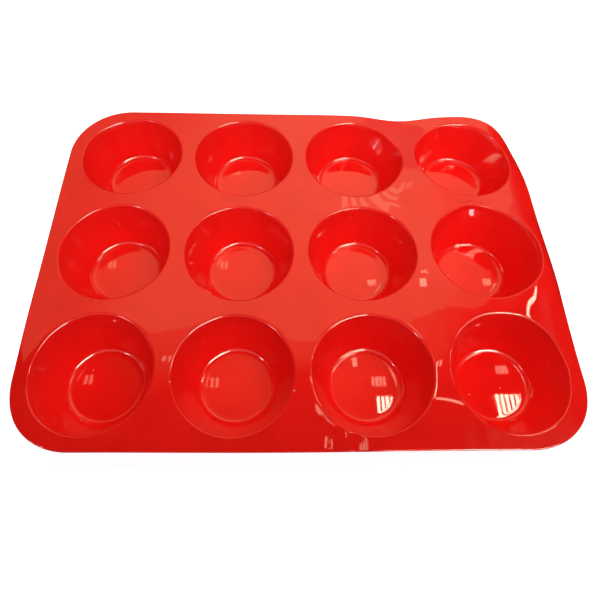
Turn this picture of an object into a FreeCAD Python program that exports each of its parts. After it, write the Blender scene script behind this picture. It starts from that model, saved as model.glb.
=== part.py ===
"""Flexible silicone muffin pan: one flat deck sheet with a grid of round, tapered cups hanging below it.

Frame: +Z up, +X along the four columns, +Y towards the back row. The origin is on the surface the
pan stands on, under the middle of the deck. The pan is a single moulding. It is modelled as its
deck and its cups, which meet face to face a little below the deck, where the moulding's wall runs
straight, so that each cup keeps a name of its own.
"""
import FreeCAD, Part
import os

import Sketcher

# Driving dimensions: alias, value in millimetres (or a count), and what it is.
DIMENSIONS = [
    ("columns", "4", "cups along X"),
    ("rows", "3", "cups along Y"),
    ("mouth_radius", "35", "cup wall's inner face where it would meet the deck's top in a sharp corner"),
    ("base_radius", "23.5", "cup wall's inner face where it would meet the floor in a sharp corner"),
    ("cup_depth", "28.5", "deck's top to the cup floor's top"),
    ("column_gap", "10", "deck left between two neighbouring mouths along X"),
    ("row_gap", "10", "deck left between two neighbouring mouths along Y"),
    ("end_border", "10", "deck beyond the first and last columns' mouths"),
    ("side_border", "8", "deck beyond the front and back rows' mouths"),
    ("corner_radius", "40", "deck's corners, seen from above"),
    ("deck_thickness", "1.5", "deck sheet"),
    ("wall_thickness", "1.5", "cup wall, measured square to its face"),
    ("floor_thickness", "1.5", "cup floor"),
    ("lip_round", "1.3", "rounding from the deck's top into a cup"),
    ("under_lip_round", "0.9", "rounding from the deck's underside into a cup's outside"),
    ("floor_round", "4", "rounding between a cup's floor and wall, inside"),
    ("edge_round", "0.6", "rounding of the deck's outer edge"),
    ("neck_depth", "4", "deck's top to the level where the cup's node takes over from the deck's"),
]

ROW_NAMES = {1: ["middle"], 2: ["front", "back"], 3: ["front", "middle", "back"]}

# Sizes that follow from the driving ones, as expressions that the document evaluates.
COLUMN_PITCH = "(2 * Dims.mouth_radius + Dims.column_gap)"
ROW_PITCH = "(2 * Dims.mouth_radius + Dims.row_gap)"
DECK_LENGTH = f"((Dims.columns - 1) * {COLUMN_PITCH} + 2 * (Dims.mouth_radius + Dims.end_border))"
DECK_WIDTH = f"((Dims.rows - 1) * {ROW_PITCH} + 2 * (Dims.mouth_radius + Dims.side_border))"
DECK_TOP = "(Dims.floor_thickness + Dims.cup_depth)"
DECK_UNDERSIDE = f"({DECK_TOP} - Dims.deck_thickness)"
SEAM_LEVEL = f"({DECK_TOP} - Dims.neck_depth)"
TAPER = "((Dims.mouth_radius - Dims.base_radius) / Dims.cup_depth)"
WALL_STEP = f"(Dims.wall_thickness / cos(atan({TAPER})))"
EDGE_ROUND = "(min(Dims.edge_round; 0.45 * Dims.deck_thickness))"
FLOOR_ROUND_OUTSIDE = "(Dims.floor_round + Dims.wall_thickness)"
FIRST_COLUMN_X = f"(-(Dims.columns - 1) / 2 * {COLUMN_PITCH})"
FIRST_ROW_Y = f"(-(Dims.rows - 1) / 2 * {ROW_PITCH})"

CUT_PAST = 1.0  # how far a cutting profile runs past the faces it cuts
SAME_LEVEL = 1e-4  # two heights or radii closer than this are the same
DECK_EDGES = 16  # four sides and four corner arcs, on top and underneath


def inner_radius(level):
    """Expression for the cup wall's inner radius at a height given as an expression."""
    return f"(Dims.base_radius + {TAPER} * ({level} - Dims.floor_thickness))"


def outer_radius(level):
    """Expression for the cup wall's outer radius at a height given as an expression."""
    return f"({inner_radius(level)} + {WALL_STEP})"


def make_document():
    doc = FreeCAD.newDocument("muffin_pan")
    sheet = doc.addObject("Spreadsheet::Sheet", "Dims")
    for line, (alias, value, meaning) in enumerate(DIMENSIONS, start=1):
        sheet.set(f"A{line}", alias)
        sheet.set(f"B{line}", value)
        sheet.setAlias(f"B{line}", alias)
        sheet.set(f"C{line}", meaning)
    doc.recompute()
    return doc, sheet


def size_of(sheet, expression):
    """The present value of an expression, in millimetres."""
    value = sheet.evalExpression(expression)
    return float(getattr(value, "Value", value))


def new_body(doc, label):
    body = doc.addObject("PartDesign::Body", label)
    body.Label = label
    return body


def origin_feature(body, role):
    return next(o for o in body.Origin.OriginFeatures if o.Role == role)


def closed_profile(body, sheet, name, corners):
    """A closed outline on the XZ plane. Each corner is (distance from the axis, height), as
    expressions, or None for a corner that lies on the vertical axis."""
    sketch = body.newObject("Sketcher::SketchObject", name)
    sketch.AttachmentSupport = [(origin_feature(body, "XZ_Plane"), "")]
    sketch.MapMode = "FlatFace"
    places = []
    for radius, height in corners:
        x = 0.0 if radius is None else size_of(sheet, radius)
        places.append(FreeCAD.Vector(x, size_of(sheet, height), 0))
    for here, there in zip(places, places[1:] + places[:1]):
        sketch.addGeometry(Part.LineSegment(here, there), False)
    start, end, origin, vertical_axis = 1, 2, (-1, 1), -2
    for index, (radius, height) in enumerate(corners):
        sketch.addConstraint(
            Sketcher.Constraint("Coincident", index - 1 if index else len(corners) - 1, end, index, start)
        )
        if radius is None:
            sketch.addConstraint(Sketcher.Constraint("PointOnObject", index, start, vertical_axis))
        else:
            across = Sketcher.Constraint("DistanceX", *origin, index, start, places[index].x)
            sketch.setExpression(f"Constraints[{sketch.addConstraint(across)}]", radius)
        up = Sketcher.Constraint("DistanceY", *origin, index, start, places[index].y)
        sketch.setExpression(f"Constraints[{sketch.addConstraint(up)}]", height)
    return sketch


def turned(body, kind, name, sketch):
    """A Revolution or Groove of a profile about its own vertical axis."""
    feature = body.newObject(f"PartDesign::{kind}", name)
    feature.Profile = sketch
    feature.ReferenceAxis = (sketch, ["V_Axis"])
    feature.Angle = 360
    return feature


def rounded(body, name, base, edges, expected, radius):
    """A fillet on the base feature's edges that the test function picks. The number of edges has to
    be the expected one, so a missing cup mouth, or one merged into its neighbour, stops the build."""
    picked = [f"Edge{n}" for n, edge in enumerate(base.Shape.Edges, start=1) if edges(edge)]
    if len(picked) != expected:
        raise RuntimeError(f"{name} found {len(picked)} edges to round instead of {expected}")
    fillet = body.newObject("PartDesign::Fillet", name)
    fillet.Base = (base, picked)
    fillet.setExpression("Radius", radius)
    body.Tip = fillet
    return fillet


def is_level_circle(edge, radius, height):
    """True for a horizontal circle of that radius at that height."""
    curve = edge.Curve
    return (
        isinstance(curve, Part.Circle)
        and abs(curve.Radius - radius) < SAME_LEVEL
        and abs(curve.Center.z - height) < SAME_LEVEL
    )


def must_remove(feature, before):
    """Stops the build if a cutting feature took nothing away from the shape before it."""
    if feature.Shape.Volume >= before - SAME_LEVEL:
        raise RuntimeError(f"{feature.Name} cut nothing")


def deck_plate(doc, sheet, body):
    """The flat sheet with its large corner radii, before any cup is let into it."""
    sketch = body.newObject("Sketcher::SketchObject", "DeckOutline")
    sketch.AttachmentSupport = [(origin_feature(body, "XY_Plane"), "")]
    sketch.MapMode = "FlatFace"
    sketch.setExpression("AttachmentOffset.Base.z", DECK_UNDERSIDE)
    half_length, half_width = size_of(sheet, DECK_LENGTH) / 2, size_of(sheet, DECK_WIDTH) / 2
    corners = [
        FreeCAD.Vector(x * half_length, y * half_width, 0) for x, y in ((-1, -1), (1, -1), (1, 1), (-1, 1))
    ]
    for here, there in zip(corners, corners[1:] + corners[:1]):
        sketch.addGeometry(Part.LineSegment(here, there), False)
    for side in range(4):
        sketch.addConstraint(Sketcher.Constraint("Coincident", side, 2, (side + 1) % 4, 1))
        sketch.addConstraint(Sketcher.Constraint("Horizontal" if side % 2 == 0 else "Vertical", side))
    sketch.addConstraint(Sketcher.Constraint("Symmetric", 0, 1, 2, 1, -1, 1))
    length = sketch.addConstraint(Sketcher.Constraint("DistanceX", 0, 1, 0, 2, 2 * half_length))
    width = sketch.addConstraint(Sketcher.Constraint("DistanceY", 1, 1, 1, 2, 2 * half_width))
    sketch.setExpression(f"Constraints[{length}]", DECK_LENGTH)
    sketch.setExpression(f"Constraints[{width}]", DECK_WIDTH)
    plate = body.newObject("PartDesign::Pad", "DeckPlate")
    plate.Profile = sketch
    plate.setExpression("Length", "Dims.deck_thickness")
    doc.recompute()

    def upright(edge):
        return abs(edge.tangentAt(edge.FirstParameter).z) > 1 - SAME_LEVEL

    corners = rounded(body, "DeckCorners", plate, upright, 4, "Dims.corner_radius")
    doc.recompute()
    return corners


def deck_necks(doc, sheet, body):
    """The grid of short tapered necks below the sheet, each bored open for its cup."""
    inside_plate = f"({DECK_TOP} - Dims.deck_thickness / 2)"
    neck_sketch = closed_profile(
        body,
        sheet,
        "NeckProfile",
        [
            (None, SEAM_LEVEL),
            (outer_radius(SEAM_LEVEL), SEAM_LEVEL),
            (outer_radius(inside_plate), inside_plate),
            (None, inside_plate),
        ],
    )
    below, above = f"({SEAM_LEVEL} - {CUT_PAST})", f"({DECK_TOP} + {CUT_PAST})"
    mouth_sketch = closed_profile(
        body,
        sheet,
        "MouthProfile",
        [(None, below), (inner_radius(below), below), (inner_radius(above), above), (None, above)],
    )
    for sketch in (neck_sketch, mouth_sketch):
        sketch.setExpression("AttachmentOffset.Base.x", FIRST_COLUMN_X)
        sketch.setExpression("AttachmentOffset.Base.z", f"-{FIRST_ROW_Y}")
    neck = turned(body, "Revolution", "Neck", neck_sketch)
    doc.recompute()
    before = neck.Shape.Volume
    mouth = turned(body, "Groove", "Mouth", mouth_sketch)
    doc.recompute()
    must_remove(mouth, before)
    grid = body.newObject("PartDesign::LinearPattern", "CupGrid")
    grid.Originals = [neck, mouth]
    grid.Direction = (origin_feature(body, "X_Axis"), [""])
    grid.Direction2 = (origin_feature(body, "Y_Axis"), [""])
    grid.Mode = grid.Mode2 = "Extent"
    grid.setExpression("Length", f"(Dims.columns - 1) * {COLUMN_PITCH}")
    grid.setExpression("Length2", f"(Dims.rows - 1) * {ROW_PITCH}")
    grid.setExpression("Occurrences", "Dims.columns")
    grid.setExpression("Occurrences2", "Dims.rows")
    body.Tip = grid
    doc.recompute()
    return grid


def make_deck(doc, sheet):
    """The deck: sheet, necks, and the soft roundings at its mouths and round its outer edge."""
    body = new_body(doc, "deck")
    deck_plate(doc, sheet, body)
    grid = deck_necks(doc, sheet, body)
    top, underside = size_of(sheet, DECK_TOP), size_of(sheet, DECK_UNDERSIDE)
    mouth_radius = size_of(sheet, "Dims.mouth_radius")
    neck_radius = size_of(sheet, outer_radius(DECK_UNDERSIDE))
    half_length, half_width = size_of(sheet, DECK_LENGTH) / 2, size_of(sheet, DECK_WIDTH) / 2
    corner_radius = size_of(sheet, "Dims.corner_radius")

    def on_outer_edge(edge):
        box = edge.BoundBox
        level = box.ZLength < SAME_LEVEL
        reaches_x = max(abs(box.XMin), abs(box.XMax)) > half_length - SAME_LEVEL
        reaches_y = max(abs(box.YMin), abs(box.YMax)) > half_width - SAME_LEVEL
        corner = isinstance(edge.Curve, Part.Circle) and abs(edge.Curve.Radius - corner_radius) < SAME_LEVEL
        return level and (reaches_x or reaches_y or corner)

    def mouth_edge(edge):
        return is_level_circle(edge, mouth_radius, top)

    def neck_root(edge):
        return is_level_circle(edge, neck_radius, underside)

    cups = round(size_of(sheet, "Dims.columns * Dims.rows"))
    lips = rounded(body, "MouthLips", grid, mouth_edge, cups, "Dims.lip_round")
    doc.recompute()
    necks = rounded(body, "NeckRoots", lips, neck_root, cups, "Dims.under_lip_round")
    doc.recompute()
    rounded(body, "OuterEdge", necks, on_outer_edge, DECK_EDGES, EDGE_ROUND)
    doc.recompute()
    return body


def make_cup(doc, sheet, label, column, row):
    """One cup: a tapered wall and flat floor turned as one shell, with the floor's edge rounded."""
    body = new_body(doc, label)
    profile = closed_profile(
        body,
        sheet,
        f"{label}_profile",
        [
            (None, "0"),
            (outer_radius("0"), "0"),
            (outer_radius(SEAM_LEVEL), SEAM_LEVEL),
            (inner_radius(SEAM_LEVEL), SEAM_LEVEL),
            ("Dims.base_radius", "Dims.floor_thickness"),
            (None, "Dims.floor_thickness"),
        ],
    )
    shell = turned(body, "Revolution", f"{label}_shell", profile)
    doc.recompute()
    base_radius = size_of(sheet, "Dims.base_radius")
    floor_top = size_of(sheet, "Dims.floor_thickness")
    outer_base = size_of(sheet, outer_radius("0"))

    def floor_corner(edge):
        return is_level_circle(edge, base_radius, floor_top)

    def heel_corner(edge):
        return is_level_circle(edge, outer_base, 0.0)

    inside = rounded(body, f"{label}_floor_round", shell, floor_corner, 1, "Dims.floor_round")
    doc.recompute()
    rounded(body, f"{label}_heel_round", inside, heel_corner, 1, FLOOR_ROUND_OUTSIDE)
    body.setExpression("Placement.Base.x", f"{FIRST_COLUMN_X} + {column} * {COLUMN_PITCH}")
    body.setExpression("Placement.Base.y", f"{FIRST_ROW_Y} + {row} * {ROW_PITCH}")
    doc.recompute()
    return body


def make_cups(doc, sheet):
    columns, rows = round(size_of(sheet, "Dims.columns")), round(size_of(sheet, "Dims.rows"))
    row_names = ROW_NAMES.get(rows) or [f"row_{n + 1}" for n in range(rows)]
    return [
        make_cup(doc, sheet, f"cup_{row_names[row]}_{column + 1}", column, row)
        for row in range(rows)
        for column in range(columns)
    ]


def check(doc, bodies):
    """Stops the build if any object failed, or a sub-part isn't one valid closed solid."""
    for obj in doc.Objects:
        if "Invalid" in obj.State or "Error" in obj.State:
            raise RuntimeError(f"{obj.Label} failed: {obj.State}")
    for body in bodies:
        shape = body.Shape
        if shape.isNull() or not shape.isValid() or len(shape.Solids) != 1 or not shape.isClosed():
            raise RuntimeError(f"{body.Label} is not one valid closed solid")


def main():
    doc, sheet = make_document()
    bodies = [make_deck(doc, sheet), *make_cups(doc, sheet)]
    doc.recompute()
    check(doc, bodies)
    os.makedirs("parts", exist_ok=True)
    for body in bodies:
        body.Shape.exportStep(f"parts/{body.Label}.step")
        print(f"{body.Label}: {body.Shape.Volume:.1f} mm3")


main()
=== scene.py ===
# %% [markdown]
# # A flexible silicone muffin pan
# The real pan is one moulding of glossy red silicone: a thin flat deck with big corner radii, and
# twelve round tapered cups hanging below it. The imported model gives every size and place. This
# lesson replaces its plain solids with a deck and twelve cups that flex the way a soft sheet does.

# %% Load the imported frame
import math

import bmesh
import bpy
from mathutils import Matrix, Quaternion, Vector, noise


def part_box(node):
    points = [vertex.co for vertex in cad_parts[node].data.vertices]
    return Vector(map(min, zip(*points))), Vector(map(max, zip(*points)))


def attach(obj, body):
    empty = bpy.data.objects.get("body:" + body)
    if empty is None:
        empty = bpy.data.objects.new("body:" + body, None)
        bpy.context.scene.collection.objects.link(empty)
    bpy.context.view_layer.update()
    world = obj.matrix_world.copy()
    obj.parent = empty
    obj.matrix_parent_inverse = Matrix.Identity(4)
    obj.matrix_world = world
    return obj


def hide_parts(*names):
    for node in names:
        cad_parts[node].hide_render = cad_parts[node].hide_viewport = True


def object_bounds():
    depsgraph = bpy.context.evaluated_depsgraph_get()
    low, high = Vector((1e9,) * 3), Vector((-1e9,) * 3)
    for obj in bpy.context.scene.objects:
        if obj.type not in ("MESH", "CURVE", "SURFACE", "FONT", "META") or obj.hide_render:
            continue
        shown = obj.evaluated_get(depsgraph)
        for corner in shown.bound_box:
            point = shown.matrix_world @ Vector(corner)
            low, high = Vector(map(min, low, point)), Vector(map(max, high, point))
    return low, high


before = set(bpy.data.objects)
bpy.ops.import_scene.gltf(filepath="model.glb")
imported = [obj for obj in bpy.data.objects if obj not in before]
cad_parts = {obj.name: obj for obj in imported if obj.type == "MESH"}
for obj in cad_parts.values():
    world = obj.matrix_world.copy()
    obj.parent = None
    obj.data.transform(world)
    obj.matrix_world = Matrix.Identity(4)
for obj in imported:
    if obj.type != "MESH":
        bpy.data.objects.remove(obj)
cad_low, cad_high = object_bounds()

MM = 0.001
scene = bpy.context.scene
size = cad_high - cad_low
print("frame:", [round(side / MM, 1) for side in size], "mm,", len(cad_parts), "nodes")

# %% [markdown]
# ## The camera
# It looks down on the pan from the front, about 0.3 m above the deck, as a person standing at a
# worktop does. A wide lens this close makes the front row look larger than the back row. The
# picture's middle lies a little behind the lens axis, which a small lens shift gives.

# %% Camera
CAMERA_PLACE = Vector((-12.9, -161.8, 301.9)) * MM
CAMERA_HEADING = math.radians(3.29)  # to the right of +Y
CAMERA_TILT = math.radians(61.75)  # below the horizon
CAMERA_ROLL = math.radians(3.11)
SENSOR_WIDTH = 36.0  # millimetres, as is the lens's length
LENS_LENGTH = 29.19
LENS_SHIFT = (0.0096, -0.0443)  # shares of the picture's width
NEAR, FAR = 0.01, 50.0


def add_camera():
    lens = bpy.data.cameras.new("camera")
    lens.sensor_width = SENSOR_WIDTH
    lens.lens = LENS_LENGTH
    lens.shift_x, lens.shift_y = LENS_SHIFT
    lens.clip_start, lens.clip_end = NEAR, FAR
    camera = bpy.data.objects.new("camera", lens)
    scene.collection.objects.link(camera)
    flat = math.cos(CAMERA_TILT)
    looking = Vector(
        (math.sin(CAMERA_HEADING) * flat, math.cos(CAMERA_HEADING) * flat, -math.sin(CAMERA_TILT))
    )
    camera.rotation_mode = "QUATERNION"
    camera.rotation_quaternion = Quaternion(looking, -CAMERA_ROLL) @ looking.to_track_quat("-Z", "Y")
    camera.location = CAMERA_PLACE
    scene.camera = camera
    distance = (CAMERA_PLACE - Vector((0, 0, cad_high.z))).length
    print("camera:", round(distance / MM), "mm from the deck's middle")


add_camera()

# %% [markdown]
# ## Sizes
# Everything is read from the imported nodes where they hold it. The wall's thickness and the
# roundings aren't in a node's box, so they are named here.

# %% Sizes from the frame
ROWS = ("front", "middle", "back")
COLUMNS = (1, 2, 3, 4)
WALL = 1.5 * MM
MOUTH_RADIUS = 35.0 * MM  # inner wall, where it would meet the deck's top in a sharp corner
BASE_RADIUS = 23.5 * MM  # inner wall, where it would meet the floor in a sharp corner
LIP_ROUND = 1.3 * MM
FLOOR_ROUND = 4.0 * MM
CORNER_RADIUS = 40.0 * MM
EDGE_ROUND = 0.6 * MM
RIM_SUPPORT = 1.6 * MM  # a ring of points this far inside the rim keeps the gloss flat up to it
ROUND_STEPS = 128  # faces round a cup, a multiple of 8 so that a deck cell's corners get a point
WELD = 0.01 * MM  # points closer than this are one point

deck_low, deck_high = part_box("deck")
DECK_TOP = deck_high.z
FLOOR_TOP = cad_low.z + WALL
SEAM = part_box("cup_front_1")[1].z  # where a cup takes over from the deck's neck
DEPTH = DECK_TOP - FLOOR_TOP
TAPER = (MOUTH_RADIUS - BASE_RADIUS) / DEPTH
DRAFT = math.atan(TAPER)


def cup_name(row, column):
    return f"cup_{ROWS[row]}_{COLUMNS[column]}"


def centre_of(row, column):
    low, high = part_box(cup_name(row, column))
    return Vector(((low.x + high.x) / 2, (low.y + high.y) / 2, 0.0))


CENTRES = {(row, column): centre_of(row, column) for row in range(3) for column in range(4)}
PITCH = CENTRES[0, 1].x - CENTRES[0, 0].x
print("pitch", round(PITCH / MM, 1), "depth", round(DEPTH / MM, 1), "seam at", round(SEAM / MM, 1), "mm")

# %% [markdown]
# ## How the sheet flexes
# Silicone never lies quite flat. The deck has a few broad swells, with a valley behind the last
# two columns, and its right edge curls down. Each swell is a soft hill: a height, a place and how
# far it reaches. The cups' floors rest on the table, so the shift fades out down the walls.

# %% Swells of the deck
# (height, x, y, reach along x, reach along y), in millimetres
SWELLS = (
    (4.8, 102, -28, 50, 70),  # broad hill under the right columns
    (8.0, 150, -12, 24, 40),  # ridge beside the last column
    (-15.0, 176, -5, 14, 60),  # right edge, curled down sharply past the ridge
    (-4.0, 176, -85, 24, 50),  # the same edge towards the front
    (-18.0, 178, 104, 18, 34),  # back right corner, turned down
    (-5.5, 78, 128, 24, 40),  # valley that runs in from the back edge
    (3.0, 92, 62, 26, 26),  # rise in front of that valley
    (-4.5, -10, -128, 80, 34),  # front edge, sagging between its corners
    (3.2, -118, -70, 45, 50),  # hill under the front left cup
    (2.0, -118, 50, 60, 60),  # low hill behind it
    (-2.5, -175, -20, 14, 110),  # left edge
    (-4.0, -176, -95, 20, 40),  # front left corner
    (1.2, 84, -95, 40, 32),  # between the last two front cups
    (1.0, 55, -85, 25, 30),  # its gentle left shoulder
    (-3.0, 112, -138, 50, 23),  # front edge beside them, turned down
    (0.7, 0, -72, 20, 18),  # between the two before them
)
print("swells:", len(SWELLS), "from", min(SWELLS)[0], "to", max(SWELLS)[0], "mm high")

# %% [markdown]
# Between the broad swells a soft sheet is never quite even. Low waves run all over it, and short
# crinkles show where it is pinched between two cups. They are less than half a millimetre high, so
# the shape hides them, but the gloss shows them: a mirrored window breaks up into wavy streaks.

# %% Ripples and crinkles
RIPPLE_HEIGHT = 0.22 * MM
RIPPLE_LENGTH = 24 * MM
CALM = 0.25  # the left half's share of that height
CALM_TO = 60  # millimetres: the waves grow to their full height round this x
CALM_FADE = 20
CRINKLE_HEIGHT = 0.38 * MM
CRINKLE_ACROSS = 9 * MM  # the crinkles run from front to back, so they are long along y
CRINKLE_ALONG = 30 * MM
# (x, y, reach), in millimetres: where the sheet is pinched between two cups or beside one
PINCHES = (
    (26, -113, 16),  # front edge, before the third column
    (45, -117, 12),
    (98, -119, 16),
    (84, -62, 10),  # the neck between the last two cups of the front row
    (132, -42, 17),  # behind the last front cup
    (150, -34, 12),
    (74, 26, 10),
)


def ripple(x, y):
    """Small uneven waves, with short crinkles where the sheet is pinched."""
    place = Vector((x, y, 0))
    strength = CALM + (1 - CALM) / (1 + math.exp(-(x / MM - CALM_TO) / CALM_FADE))
    wave = RIPPLE_HEIGHT * strength * noise.noise(place / RIPPLE_LENGTH)
    pinched = 0.0
    for middle_x, middle_y, reach in PINCHES:
        away = (place / MM - Vector((middle_x, middle_y, 0))).length / reach
        pinched += math.exp(-away * away)
    crease = noise.noise(Vector((x / CRINKLE_ACROSS, y / CRINKLE_ALONG, 0)))
    return wave + CRINKLE_HEIGHT * min(pinched, 1.0) * crease


def swell(x, y):
    """The deck's rise at a place, in metres."""
    rise = 0.0
    for height, middle_x, middle_y, reach_x, reach_y in SWELLS:
        across = (x / MM - middle_x) / reach_x
        along = (y / MM - middle_y) / reach_y
        rise += height * math.exp(-across * across - along * along)
    return rise * MM + ripple(x, y)


print("the deck's middle rises", round(swell(0, 0) / MM, 2), "mm")


# %% [markdown]
# ## Dents
# Two cups of the right half are pushed out a little just below their mouths, as if by a thumb. A
# wall that leans further back there mirrors a window, which gives each dent its bright streak.

# %% Dents of the cups' upper walls
# (row, column, degrees clockwise from the back, height, half-width, half-height, depth), in mm
DENTS = (
    (1, 3, -4, 26.5, 9.0, 5.5, 2.6),
    (2, 2, 40, 24.5, 5.5, 6.0, 1.8),
)
DENT_REACH = 4 * MM  # past a mouth's edge, a point belongs to no dent of that cup


def dented(place):
    """How far a point of a wall is pushed out of its cup by the dents near it."""
    push = Vector((0, 0, 0))
    for row, column, clock, height, half_width, half_height, depth in DENTS:
        away = place - CENTRES[row, column]
        if away.xy.length > MOUTH_RADIUS + DENT_REACH:
            continue
        turn = math.remainder(math.atan2(away.x, away.y) - math.radians(clock), 2 * math.pi)
        across = turn * away.xy.length / MM / half_width
        up = (place.z / MM - height) / half_height
        outward = Vector((away.x, away.y, 0)).normalized()
        push += outward * (depth * MM * math.exp(-across * across - up * up))
    return push


print("dents:", len(DENTS), "up to", max(dent[-1] for dent in DENTS), "mm deep")

# %% Flexing
UNDERSIDE = DECK_TOP - WALL  # of the deck's sheet


def flex(mesh):
    """Bends a finished bmesh: the deck moves with its swells, and the cups' floors stay down."""
    for vert in mesh.verts:
        vert.co += dented(vert.co)
        share = min(max((vert.co.z - FLOOR_TOP) / (UNDERSIDE - FLOOR_TOP), 0.0), 1.0)
        share = share * share * (3 - 2 * share)
        vert.co.z += swell(vert.co.x, vert.co.y) * share


print("flexed between", round(FLOOR_TOP / MM, 1), "and", round(UNDERSIDE / MM, 1), "mm")

# %% [markdown]
# ## From a bmesh to a piece
# A piece's place is in its mesh, so its object stays at the origin. Edges stay smooth except at
# the seam, where a cup and the deck meet face to face: there the wall's own direction is kept.

# %% Giving the sheet its thickness
def thicken(mesh):
    """Adds the sheet's other face, and notes in an attribute which points lie on the outside."""
    inner = {(round(vert.co.x, 7), round(vert.co.y, 7), round(vert.co.z, 7)) for vert in mesh.verts}
    bmesh.ops.solidify(mesh, geom=mesh.faces[:], thickness=WALL)
    outside = mesh.verts.layers.float.new("outside")
    for vert in mesh.verts:
        place = (round(vert.co.x, 7), round(vert.co.y, 7), round(vert.co.z, 7))
        vert[outside] = 0.0 if place in inner else 1.0


# %% Finishing a piece
SHARP = math.radians(50)  # only the seam's corners are sharper than this


def finished(mesh, name, material):
    for face in mesh.faces:
        face.smooth = True
    for edge in mesh.edges:
        if len(edge.link_faces) == 2 and edge.calc_face_angle() > SHARP:
            edge.smooth = False
    data = bpy.data.meshes.new(name)
    mesh.to_mesh(data)
    mesh.free()
    piece = bpy.data.objects.new(name, data)
    piece.data.materials.append(material)
    scene.collection.objects.link(piece)
    print("piece:", name, len(data.polygons), "faces")
    return piece


def fillet_offset(radius, corner):
    """How far back from a corner a rounding of that radius starts, for the angle inside it."""
    return radius / math.tan(corner / 2)


def rounded_edges(mesh, edges, offset, segments):
    bmesh.ops.bevel(
        mesh,
        geom=edges,
        offset=offset,
        offset_type="OFFSET",
        segments=segments,
        profile=0.5,
        affect="EDGES",
        material=-1,
        clamp_overlap=False,
    )


# %% [markdown]
# ## A cup
# A cup is turned: half of its inner outline, spun round the cup's axis, gives the surface that
# holds the batter. The outline needs three points, floor centre, floor corner and seam. The corner
# is bevelled to an arc before the spin. Solidify then gives the sheet its even thickness, because a
# moulded sheet's two faces run side by side.

# %% Cup
FLOOR_STEPS = 8  # faces across the rounding between floor and wall
WALL_CUTS = 7  # cuts along the floor's and the wall's straight stretches


def make_cup(row, column, material):
    mesh = bmesh.new()
    seam_radius = BASE_RADIUS + TAPER * (SEAM - FLOOR_TOP)
    corners = [
        mesh.verts.new(place)
        for place in ((0, 0, FLOOR_TOP), (BASE_RADIUS, 0, FLOOR_TOP), (seam_radius, 0, SEAM))
    ]
    edges = [mesh.edges.new(pair) for pair in zip(corners, corners[1:])]
    start = fillet_offset(FLOOR_ROUND, math.pi / 2 + DRAFT)
    bmesh.ops.bevel(
        mesh,
        geom=[corners[1]],
        offset=start,
        offset_type="OFFSET",
        segments=FLOOR_STEPS,
        profile=0.5,
        affect="VERTICES",
        material=-1,
    )
    long_edges = [edge for edge in mesh.edges if edge.calc_length() > FLOOR_ROUND]
    bmesh.ops.subdivide_edges(mesh, edges=long_edges, cuts=WALL_CUTS)
    bmesh.ops.spin(
        mesh,
        geom=mesh.verts[:] + mesh.edges[:],
        cent=(0, 0, 0),
        axis=(0, 0, 1),
        angle=2 * math.pi,
        steps=ROUND_STEPS,
        use_merge=True,
    )
    bmesh.ops.remove_doubles(mesh, verts=mesh.verts, dist=WELD)
    bmesh.ops.recalc_face_normals(mesh, faces=mesh.faces)
    if min(mesh.faces, key=lambda face: face.calc_center_median().length).normal.z < 0:
        bmesh.ops.reverse_faces(mesh, faces=mesh.faces)
    thicken(mesh)
    bmesh.ops.translate(mesh, verts=mesh.verts, vec=CENTRES[row, column])
    flex(mesh)
    return finished(mesh, f"{cup_name(row, column)}_shell", material)


# %% [markdown]
# ## The deck
# The sheet is built round its mouths. Each mouth starts as a circle whose edge is pulled out to the
# outline of its own share of the deck, so that rings of faces run from the round mouth to the
# square cell. Pulling the same edge down gives the short neck, and a bevel rounds the lip between
# the two. The twelve shares are then welded, given their thickness and rounded along the rim.

# %% Deck cell
LIP_STEPS = 7  # faces across a lip's rounding
SHEET_CUTS = 9  # rings of faces, less one, between a lip and its cell's edge


def reach_of(row, column, side):
    """From a mouth's middle to the edge of its share of the deck: left, right, front or back."""
    middle = CENTRES[row, column]
    if side == "left":
        return middle.x - deck_low.x if column == 0 else PITCH / 2
    if side == "right":
        return deck_high.x - middle.x if column == len(COLUMNS) - 1 else PITCH / 2
    if side == "front":
        return middle.y - deck_low.y if row == 0 else PITCH / 2
    return deck_high.y - middle.y if row == len(ROWS) - 1 else PITCH / 2


def cell_point(row, column, direction):
    """The point of the cell's outline that a mouth's point in that direction is pulled out to."""
    across, along = direction.x, direction.y
    larger = max(abs(across), abs(along))
    x = across / larger * reach_of(row, column, "right" if across > 0 else "left")
    y = along / larger * reach_of(row, column, "back" if along > 0 else "front")
    outer_column = column == (len(COLUMNS) - 1 if across > 0 else 0)
    outer_row = row == (len(ROWS) - 1 if along > 0 else 0)
    if outer_column and outer_row:
        arc_x = abs(reach_of(row, column, "right" if across > 0 else "left")) - CORNER_RADIUS
        arc_y = abs(reach_of(row, column, "back" if along > 0 else "front")) - CORNER_RADIUS
        past = Vector((abs(x) - arc_x, abs(y) - arc_y))
        if past.x > 0 and past.y > 0:
            past = past.normalized() * CORNER_RADIUS
            x = math.copysign(arc_x + past.x, x)
            y = math.copysign(arc_y + past.y, y)
    return Vector((x, y, DECK_TOP))


def new_points(extruded):
    return [item for item in extruded["geom"] if isinstance(item, bmesh.types.BMVert)]


def spokes_of(cell):
    """Pairs of a point on the cell's outline and the edge that runs in from it."""
    outline = [vert for vert in cell.verts if vert.is_boundary and vert.co.z > UNDERSIDE]
    return [(vert, next(edge for edge in vert.link_edges if not edge.is_boundary)) for vert in outline]


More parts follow.
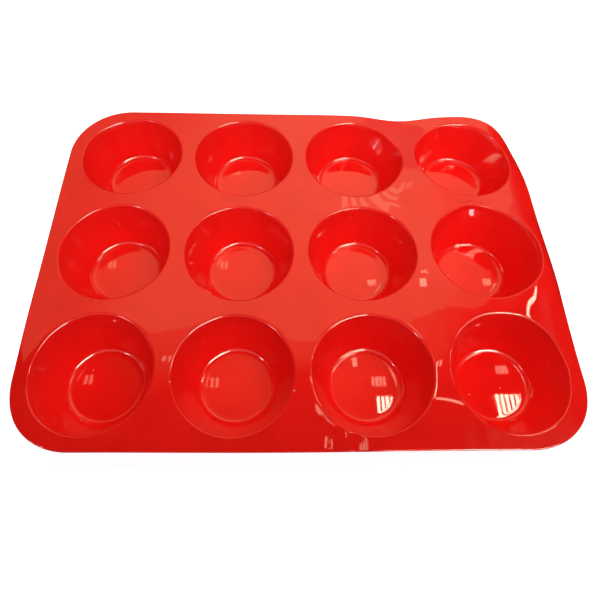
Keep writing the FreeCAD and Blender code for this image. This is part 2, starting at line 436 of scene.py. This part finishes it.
def add_cell(deck, row, column):
    cell = bmesh.new()
    ring = bmesh.ops.create_circle(cell, segments=ROUND_STEPS, radius=MOUTH_RADIUS)["verts"]
    mouth = cell.edges[:]
    bmesh.ops.translate(cell, verts=ring, vec=(0, 0, DECK_TOP))
    outline = new_points(bmesh.ops.extrude_edge_only(cell, edges=mouth))
    for vert in outline:
        vert.co = cell_point(row, column, vert.co)
    shrink = (BASE_RADIUS + TAPER * (SEAM - FLOOR_TOP)) / MOUTH_RADIUS
    for vert in new_points(bmesh.ops.extrude_edge_only(cell, edges=mouth)):
        vert.co = Vector((vert.co.x * shrink, vert.co.y * shrink, SEAM))
    rounded_edges(cell, mouth, fillet_offset(LIP_ROUND, math.pi / 2 + DRAFT), LIP_STEPS)
    spokes = [spoke for _, spoke in spokes_of(cell)]
    bmesh.ops.subdivide_edges(cell, edges=spokes, cuts=SHEET_CUTS)
    for vert, spoke in spokes_of(cell):
        inner = spoke.other_vert(vert)
        if spoke.calc_length() > RIM_SUPPORT:
            inner.co = vert.co + (inner.co - vert.co).normalized() * RIM_SUPPORT
    bmesh.ops.translate(cell, verts=cell.verts, vec=CENTRES[row, column])
    data = bpy.data.meshes.new("cell")
    cell.to_mesh(data)
    cell.free()
    deck.from_mesh(data)
    bpy.data.meshes.remove(data)


# %% Deck
RIM_ANGLE = math.radians(60)  # the sheet's raw edges turn more sharply than this
RIM_STEPS = 3  # faces across the rim's rounding
RIM_SLACK = 0.1 * MM  # the rim's points lie no lower than this below the sheet


def make_deck(material):
    mesh = bmesh.new()
    for row, column in CENTRES:
        add_cell(mesh, row, column)
    bmesh.ops.remove_doubles(mesh, verts=mesh.verts, dist=WELD)
    bmesh.ops.recalc_face_normals(mesh, faces=mesh.faces)
    if max(mesh.faces, key=lambda face: face.calc_area()).normal.z < 0:
        bmesh.ops.reverse_faces(mesh, faces=mesh.faces)
    thicken(mesh)
    rim = [
        edge
        for edge in mesh.edges
        if len(edge.link_faces) == 2
        and edge.calc_face_angle() > RIM_ANGLE
        and min(vert.co.z for vert in edge.verts) > UNDERSIDE - RIM_SLACK
    ]
    rounded_edges(mesh, rim, EDGE_ROUND, RIM_STEPS)
    flex(mesh)
    print("deck:", len(rim), "rim edges")
    return finished(mesh, "deck_sheet", material)


# %% [markdown]
# ## Red silicone
# Moulded silicone takes its gloss from the polished mould: sharp reflections inside the cups, a
# slightly duller back, where the other half of the mould was only blasted. The colour goes right
# through, so it varies little: a faint cloudiness, and paler dust that clings to the sheet.
# One material serves both faces. It reads an attribute that says which face a point is on.

# %% Node helpers
class Recipe:
    """A material's nodes, added one by one and wired by name."""

    def __init__(self, name):
        self.material = bpy.data.materials.new(name)
        self.material.use_nodes = True
        self.tree = self.material.node_tree
        self.shader = self.tree.nodes["Principled BSDF"]
        self.coordinates = self.tree.nodes.new("ShaderNodeTexCoord").outputs["Object"]

    def wire(self, value, socket):
        if isinstance(value, bpy.types.NodeSocket):
            self.tree.links.new(value, socket)
        else:
            socket.default_value = value

    def math(self, operation, first, second=0.0):
        node = self.tree.nodes.new("ShaderNodeMath")
        node.operation = operation
        self.wire(first, node.inputs[0])
        self.wire(second, node.inputs[1])
        return node.outputs[0]

    def noise(self, feature, detail=2.0, roughness=0.5, stretch=(1, 1, 1)):
        """Soft noise from 0 to 1 whose blobs are about that many metres across."""
        mapping = self.tree.nodes.new("ShaderNodeMapping")
        mapping.inputs["Scale"].default_value = stretch
        self.wire(self.coordinates, mapping.inputs["Vector"])
        node = self.tree.nodes.new("ShaderNodeTexNoise")
        node.inputs["Scale"].default_value = 1 / feature
        node.inputs["Detail"].default_value = detail
        node.inputs["Roughness"].default_value = roughness
        self.wire(mapping.outputs["Vector"], node.inputs["Vector"])
        return node.outputs["Fac"]

    def ramp(self, value, low, high, to_low=0.0, to_high=1.0):
        node = self.tree.nodes.new("ShaderNodeMapRange")
        node.interpolation_type = "SMOOTHSTEP"
        self.wire(value, node.inputs["Value"])
        names = ("From Min", "From Max", "To Min", "To Max")
        for name, limit in zip(names, (low, high, to_low, to_high)):
            self.wire(limit, node.inputs[name])
        return node.outputs["Result"]

    def mix(self, share, first, second):
        node = self.tree.nodes.new("ShaderNodeMix")
        node.data_type = "RGBA"
        self.wire(share, node.inputs["Factor"])
        self.wire(first, node.inputs["A"])
        self.wire(second, node.inputs["B"])
        return node.outputs["Result"]

    def bump(self, height, depth, strength=1.0, below=None):
        """Relief whose height runs from 0 to 1 over that many metres."""
        node = self.tree.nodes.new("ShaderNodeBump")
        node.inputs["Distance"].default_value = depth
        self.wire(strength, node.inputs["Strength"])
        self.wire(height, node.inputs["Height"])
        if below is not None:
            self.wire(below, node.inputs["Normal"])
        return node.outputs["Normal"]


# %% Silicone
SILICONE = (0.95, 0.013, 0.012, 1)
SILICONE_CLOUD = (0.90, 0.011, 0.010, 1)
SILICONE_IOR = 1.43
POLISHED = (0.01, 0.03)  # roughness of the inside, from least to most smudged
BLASTED = (0.34, 0.42)  # roughness of the outside
PEEL_DEPTH = 0.003 * MM  # slow unevenness of the mould's polish
GRAIN_DEPTH = 0.012 * MM  # the blasted half's fine grain
DUST = (0.75, 0.42, 0.36, 1)
DUST_ROUGHNESS = 0.8
DUST_CELL = 5 * MM
DUST_FREE = 0.955  # share of the cells that hold no speck
SPECK_RADIUS = (0.035, 0.09)  # shares of a cell


def dust(recipe):
    """Sparse specks: the rare cells of a fine pattern whose random value is high, as small dots."""
    cells = recipe.tree.nodes.new("ShaderNodeTexVoronoi")
    cells.inputs["Scale"].default_value = 1 / DUST_CELL
    recipe.wire(recipe.coordinates, cells.inputs["Vector"])
    colour = recipe.tree.nodes.new("ShaderNodeSeparateColor")
    recipe.wire(cells.outputs["Color"], colour.inputs["Color"])
    rare = recipe.math("GREATER_THAN", colour.outputs["Red"], DUST_FREE)
    radius = recipe.ramp(colour.outputs["Green"], 0.0, 1.0, *SPECK_RADIUS)
    dot = recipe.math("LESS_THAN", cells.outputs["Distance"], radius)
    return recipe.math("MULTIPLY", rare, dot)


def silicone():
    recipe = Recipe("red_silicone")
    outside = recipe.tree.nodes.new("ShaderNodeAttribute")
    outside.attribute_name = "outside"
    outside = outside.outputs["Fac"]
    clouds = recipe.ramp(recipe.noise(22 * MM, 3), 0.4, 0.7)
    colour = recipe.mix(clouds, SILICONE, SILICONE_CLOUD)
    specks = dust(recipe)
    recipe.wire(recipe.mix(specks, colour, DUST), recipe.shader.inputs["Base Color"])
    smudges = recipe.ramp(recipe.noise(14 * MM, 4, 0.6, (1, 0.6, 1)), 0.35, 0.75, *POLISHED)
    blasted = recipe.ramp(recipe.noise(6 * MM, 3), 0.3, 0.7, *BLASTED)
    roughness = recipe.tree.nodes.new("ShaderNodeMix")
    recipe.wire(outside, roughness.inputs["Factor"])
    recipe.wire(smudges, roughness.inputs["A"])
    recipe.wire(blasted, roughness.inputs["B"])
    dry = recipe.math("MULTIPLY", specks, DUST_ROUGHNESS)
    dusty = recipe.math("MAXIMUM", roughness.outputs["Result"], dry)
    recipe.wire(dusty, recipe.shader.inputs["Roughness"])
    peel = recipe.bump(recipe.noise(6 * MM, 1), PEEL_DEPTH)
    grain = recipe.bump(recipe.noise(0.4 * MM, 2), GRAIN_DEPTH, outside, peel)
    recipe.wire(grain, recipe.shader.inputs["Normal"])
    recipe.shader.inputs["IOR"].default_value = SILICONE_IOR
    return recipe.material


red = silicone()
print("material:", len(red.node_tree.nodes), "nodes")

# %% Put the pieces together
deck = make_deck(red)
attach(deck, "root")
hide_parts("deck")
for row, column in CENTRES:
    cup = make_cup(row, column, red)
    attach(cup, "root")
    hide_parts(cup_name(row, column))
print("cups:", len(CENTRES))


# %% [markdown]
# ## The studio
# The pan stands on a plain white table that glows a little, as a light table does, so that the
# ground stays pale right up to the rim. The glow is a little blue, because the room's light is warm.

# %% Table
TABLE_HALF_WIDTH = 4.0
TABLE_GAP = 0.05 * MM  # below the cups, so that no two faces share a place
TABLE_WHITE = (0.80, 0.85, 0.87, 1)
TABLE_GLOW = (0.88, 0.95, 1, 1)
TABLE_GLOW_STRENGTH = 0.9


def add_table():
    mesh = bmesh.new()
    bmesh.ops.create_grid(mesh, x_segments=1, y_segments=1, size=TABLE_HALF_WIDTH)
    data = bpy.data.meshes.new("table")
    mesh.to_mesh(data)
    mesh.free()
    table = bpy.data.objects.new("table", data)
    table.location.z = cad_low.z - TABLE_GAP
    material = bpy.data.materials.new("white_table")
    material.use_nodes = True
    shader = material.node_tree.nodes["Principled BSDF"]
    shader.inputs["Base Color"].default_value = TABLE_WHITE
    shader.inputs["Roughness"].default_value = 0.7
    shader.inputs["Emission Color"].default_value = TABLE_GLOW
    shader.inputs["Emission Strength"].default_value = TABLE_GLOW_STRENGTH
    data.materials.append(material)
    table.visible_glossy = False  # a curled rim would mirror it as a white band
    scene.collection.objects.link(table)
    print("table:", 2 * TABLE_HALF_WIDTH, "m wide")


add_table()

# %% [markdown]
# ## Soft room light
# Gloss shows whatever stands round the pan, so the room matters as much as the silicone. Most of
# the light is broad glows that fade out softly, added up in the world's shader: each takes the dot
# product of the viewing direction and its own middle. Straight above stays dark, because
# the front of the deck mirrors it to the camera and is deeper in colour than the back. Past the
# table the camera itself sees a plain pale wall.

# %% Room glows
# (degrees to the right of +Y, degrees above the horizon, reach in degrees, colour times strength)
GLOWS = (
    (0, 60, 25, (0.8, 0.8, 0.4)),  # back, high and warm
    (20, 40, 28, (0.5, 0.6, 0.4)),  # back right
    (10, 15, 40, (0.3, 0.3, 0.3)),  # back, low
    (115, 40, 30, (0.8, 0.8, 0.6)),  # right
    (120, 15, 35, (0.4, 0.4, 0.3)),  # right, low
    (157, 40, 28, (1.5, 1.2, 1.0)),  # over the right shoulder
    (-157, 40, 28, (1.5, 1.2, 1.0)),  # over the left shoulder
    (180, 15, 35, (0.8, 0.6, 0.6)),  # behind, low
    (-120, 15, 35, (1.0, 1.0, 1.0)),  # left, low and cool
)
ROOM_STRENGTH = 0.85
GLOW_CORE = math.radians(6)  # a glow keeps its full strength this far from its middle
PLAIN_WALL = (0.85, 0.87, 0.88, 1)


def heading(azimuth, elevation):
    """The unit vector towards a direction given in degrees."""
    azimuth, elevation = math.radians(azimuth), math.radians(elevation)
    flat = math.cos(elevation)
    return Vector((math.sin(azimuth) * flat, math.cos(azimuth) * flat, math.sin(elevation)))


def add_room():
    world = bpy.data.worlds.new("room")
    world.use_nodes = True
    tree = world.node_tree
    direction = tree.nodes.new("ShaderNodeTexCoord").outputs["Generated"]
    total = None
    for azimuth, elevation, reach, colour in GLOWS:
        closeness = tree.nodes.new("ShaderNodeVectorMath")
        closeness.operation = "DOT_PRODUCT"
        closeness.inputs[1].default_value = heading(azimuth, elevation)
        tree.links.new(direction, closeness.inputs[0])
        fade = tree.nodes.new("ShaderNodeMapRange")
        fade.interpolation_type = "SMOOTHSTEP"
        fade.inputs["From Min"].default_value = math.cos(math.radians(reach))
        fade.inputs["From Max"].default_value = math.cos(GLOW_CORE)
        tree.links.new(closeness.outputs["Value"], fade.inputs["Value"])
        tint = tree.nodes.new("ShaderNodeVectorMath")
        tint.operation = "SCALE"
        tint.inputs[0].default_value = colour
        tree.links.new(fade.outputs["Result"], tint.inputs["Scale"])
        if total is None:
            total = tint.outputs["Vector"]
            continue
        added = tree.nodes.new("ShaderNodeVectorMath")
        added.operation = "ADD"
        tree.links.new(total, added.inputs[0])
        tree.links.new(tint.outputs["Vector"], added.inputs[1])
        total = added.outputs["Vector"]
    background = tree.nodes["Background"]
    tree.links.new(total, background.inputs["Color"])
    background.inputs["Strength"].default_value = ROOM_STRENGTH
    wall = tree.nodes.new("ShaderNodeBackground")
    wall.inputs["Color"].default_value = PLAIN_WALL
    seen = tree.nodes.new("ShaderNodeMixShader")
    path = tree.nodes.new("ShaderNodeLightPath")
    tree.links.new(path.outputs["Is Camera Ray"], seen.inputs["Fac"])
    tree.links.new(background.outputs["Background"], seen.inputs[1])
    tree.links.new(wall.outputs["Background"], seen.inputs[2])
    tree.links.new(seen.outputs["Shader"], tree.nodes["World Output"].inputs["Surface"])
    scene.world = world
    print("room:", len(GLOWS), "glows")


add_room()

# %% [markdown]
# ## Softboxes
# Area lights give what the glows can't: a crisp edge in the gloss. Blender sets an area light by
# its power, but what shows in a reflection is its radiance, so the helper takes the radiance and
# works the power out from the size.

# %% Softbox
def softbox(name, place, width, length, radiance, colour, target, mirrored=True, lights=True):
    light = bpy.data.lights.new(name, "AREA")
    light.shape = "RECTANGLE"
    light.size, light.size_y = width, length
    light.energy = math.pi * width * length * radiance
    light.color = colour
    lamp = bpy.data.objects.new(name, light)
    lamp.location = place
    lamp.rotation_mode = "QUATERNION"
    lamp.rotation_quaternion = (target - place).to_track_quat("-Z", "Y")
    lamp.visible_camera = False
    lamp.visible_glossy = mirrored
    lamp.visible_diffuse = lights
    scene.collection.objects.link(lamp)


# %% Ceiling softbox
CEILING_PLACE = Vector((-0.5, 1.25, 1.5))
CEILING_WIDTH, CEILING_LENGTH = 4.2, 1.4
GOLDEN = (1.0, 0.83, 0.47)
STRAIGHT_DOWN = CEILING_PLACE - Vector((0, 0, 1))
softbox("ceiling", CEILING_PLACE, CEILING_WIDTH, CEILING_LENGTH, 0.75, GOLDEN, STRAIGHT_DOWN)
print("ceiling softbox:", CEILING_WIDTH, "by", CEILING_LENGTH, "m")

# %% [markdown]
# ## Fill lights
# Two small softboxes near the pan brighten the deck's middle and the right-hand walls. They would
# show as pale squares in the gloss, so they are hidden from it and only give light.

# %% Fill lights
PALE = (1.0, 0.85, 0.72)
MIDDLE = Vector((0.0, 0.0, 0.0))
# (name, place in metres, width, length, radiance)
FILLS = (
    ("fill_above", (0.0, 0.14, 0.5), 0.2, 0.35, 1.2),
    ("fill_right", (0.42, 0.0, 0.35), 0.2, 0.2, 0.5),
)
for name, place, width, length, radiance in FILLS:
    softbox(name, Vector(place), width, length, radiance, PALE, MIDDLE, mirrored=False)
print("fill lights:", len(FILLS))

# %% [markdown]
# ## Slatted windows
# A blind in front of a window breaks its light into slats, and the gloss repeats them: bright
# patches in the cups' floors and wavy streaks on the deck. Each window hangs level above the pan
# and is a row of narrow softboxes. The script names the place where it should show, and works out
# from the mirror law where it must hang. The left-hand floors each show one small dim window.

# %% Windows
PANEL_HEIGHT = 700 * MM
SLAT_SHARE = 0.62  # of the pitch: the rest is the gap between two slats
WARM = (1.0, 0.86, 0.62)
# Where each window shows in a flat mirror as low as the cups' floors, in millimetres:
# (left, right, front, back, slats, radiance)
WINDOWS = (
    (46, 63, -126.5, -87, 6, 42),  # third front cup's floor
    (120.5, 139, -126.5, -86, 6, 42),  # last front cup's floor
    (44, 53.5, -80.5, -74.5, 4, 8),  # the same two floors, nearer the back
    (124.5, 132.5, -73, -67.5, 4, 8),
    (47, 53.5, -10, -5.5, 3, 8),  # third middle cup's floor
    (128.5, 134.5, -9.5, -4.5, 3, 9),  # last middle cup's floor
    # small ones, for the streaks on the deck and along its front edge
    (63, 73.5, -85.5, -78.5, 3, 9),
    (45.5, 50, -24, -17, 1, 9),
    (33, 36, -68, -48.5, 1, 8),
    (0, 9.5, -150, -142.5, 3, 6),
    (27, 43.5, -136, -132, 1, 10),
    (66, 87, -136, -132, 1, 10),
    (110, 116.5, -130, -124, 1, 8),
    (24, 42.5, 43, 65, 4, 2),  # a dim window for the deck behind the third column
    (-133, -127, 86, 92, 2, 4),  # the left-hand floors, each with a small dim patch
    (-51, -45, 87, 93, 2, 4),
    (-134, -128, 3, 9, 2, 4),
    (-56, -50, 3, 9, 2, 4),
    (-135, -129, -79, -73, 2, 4),
    (-57, -51, -81, -75, 2, 4),
)


def hung_over(x, y):
    """Where a panel must hang to show at that place: as far past it as the camera is before it."""
    mirror = Vector((x * MM, y * MM, FLOOR_TOP))
    reach = (PANEL_HEIGHT - FLOOR_TOP) / (CAMERA_PLACE.z - FLOOR_TOP)
    place = mirror + (mirror - CAMERA_PLACE) * reach
    return Vector((place.x, place.y, PANEL_HEIGHT))


def add_panels():
    for number, (left, right, front, back, slats, radiance) in enumerate(WINDOWS, start=1):
        near, far = hung_over(left, front), hung_over(right, back)
        pitch = (far.x - near.x) / slats
        width = pitch * (1.0 if slats == 1 else SLAT_SHARE)
        for slat in range(slats):
            place = Vector((near.x + (slat + 0.5) * pitch, (near.y + far.y) / 2, PANEL_HEIGHT))
            below = Vector((place.x, place.y, 0.0))
            name = f"window_{number}_slat_{slat + 1}"
            softbox(name, place, width, far.y - near.y, radiance, WARM, below)
    print("windows:", len(WINDOWS), "with", sum(window[4] for window in WINDOWS), "slats")


add_panels()

# %% [markdown]
# ## Thin highlights
# Every lip has two short bright lines and every floor an arc at the back, which come from small
# bright windows behind whoever looks at the pan: a warm one to the right, two cool ones to the left
# and a cool one low in front. They only show in the gloss, and give no light of their own.

# %% Windows behind
WARM_PLACE = heading(145, 44) * 1.2
COOL = (1.0, 0.86, 0.95)
# (place in metres, width, length, radiance)
COOL_PANELS = (
    ((-0.78, -0.50, 0.82), 0.12, 0.18, 50),  # left, mirrored by the lips' back right
    ((-0.92, -0.60, 0.42), 0.12, 0.24, 16),  # lower on that side
    ((0.50, -0.97, 0.28), 0.50, 0.20, 18),  # low in front
)
softbox("window_behind", WARM_PLACE, 0.8, 0.15, 90, WARM, MIDDLE, lights=False)
for number, (place, width, length, radiance) in enumerate(COOL_PANELS, start=1):
    name = f"cool_panel_{number}"
    softbox(name, Vector(place), width, length, radiance, COOL, MIDDLE, lights=False)
print("windows behind:", 1 + len(COOL_PANELS))

# %% [markdown]
# ## Shade in front
# Whoever looks at the pan stands close and keeps light off its front edge, so the deck is deeper
# in colour there. An upright black card in front does the same. It isn't seen and isn't mirrored.

# %% Shade
SHADE_WIDTH, SHADE_HEIGHT = 0.9, 0.11
SHADE_PLACE = (0.0, -0.205, 0.056)
BLACK = (0.01, 0.01, 0.01, 1)


def add_shade():
    mesh = bmesh.new()
    bmesh.ops.create_grid(mesh, x_segments=1, y_segments=1, size=0.5)
    data = bpy.data.meshes.new("shade")
    mesh.to_mesh(data)
    mesh.free()
    shade = bpy.data.objects.new("shade", data)
    shade.scale = (SHADE_WIDTH, SHADE_HEIGHT, 1.0)
    shade.rotation_euler = (math.radians(90), 0, 0)
    shade.location = SHADE_PLACE
    shade.visible_camera = False
    shade.visible_glossy = False
    material = bpy.data.materials.new("black_card")
    material.use_nodes = True
    shader = material.node_tree.nodes["Principled BSDF"]
    shader.inputs["Base Color"].default_value = BLACK
    data.materials.append(material)
    scene.collection.objects.link(shade)
    print("shade:", SHADE_WIDTH, "by", SHADE_HEIGHT, "m")


add_shade()

# %% [markdown]
# ## Finish
# The standard view shows the colours as they are, where a filmic one would grey the red.

# %% Standard view
scene.view_settings.view_transform = "Standard"
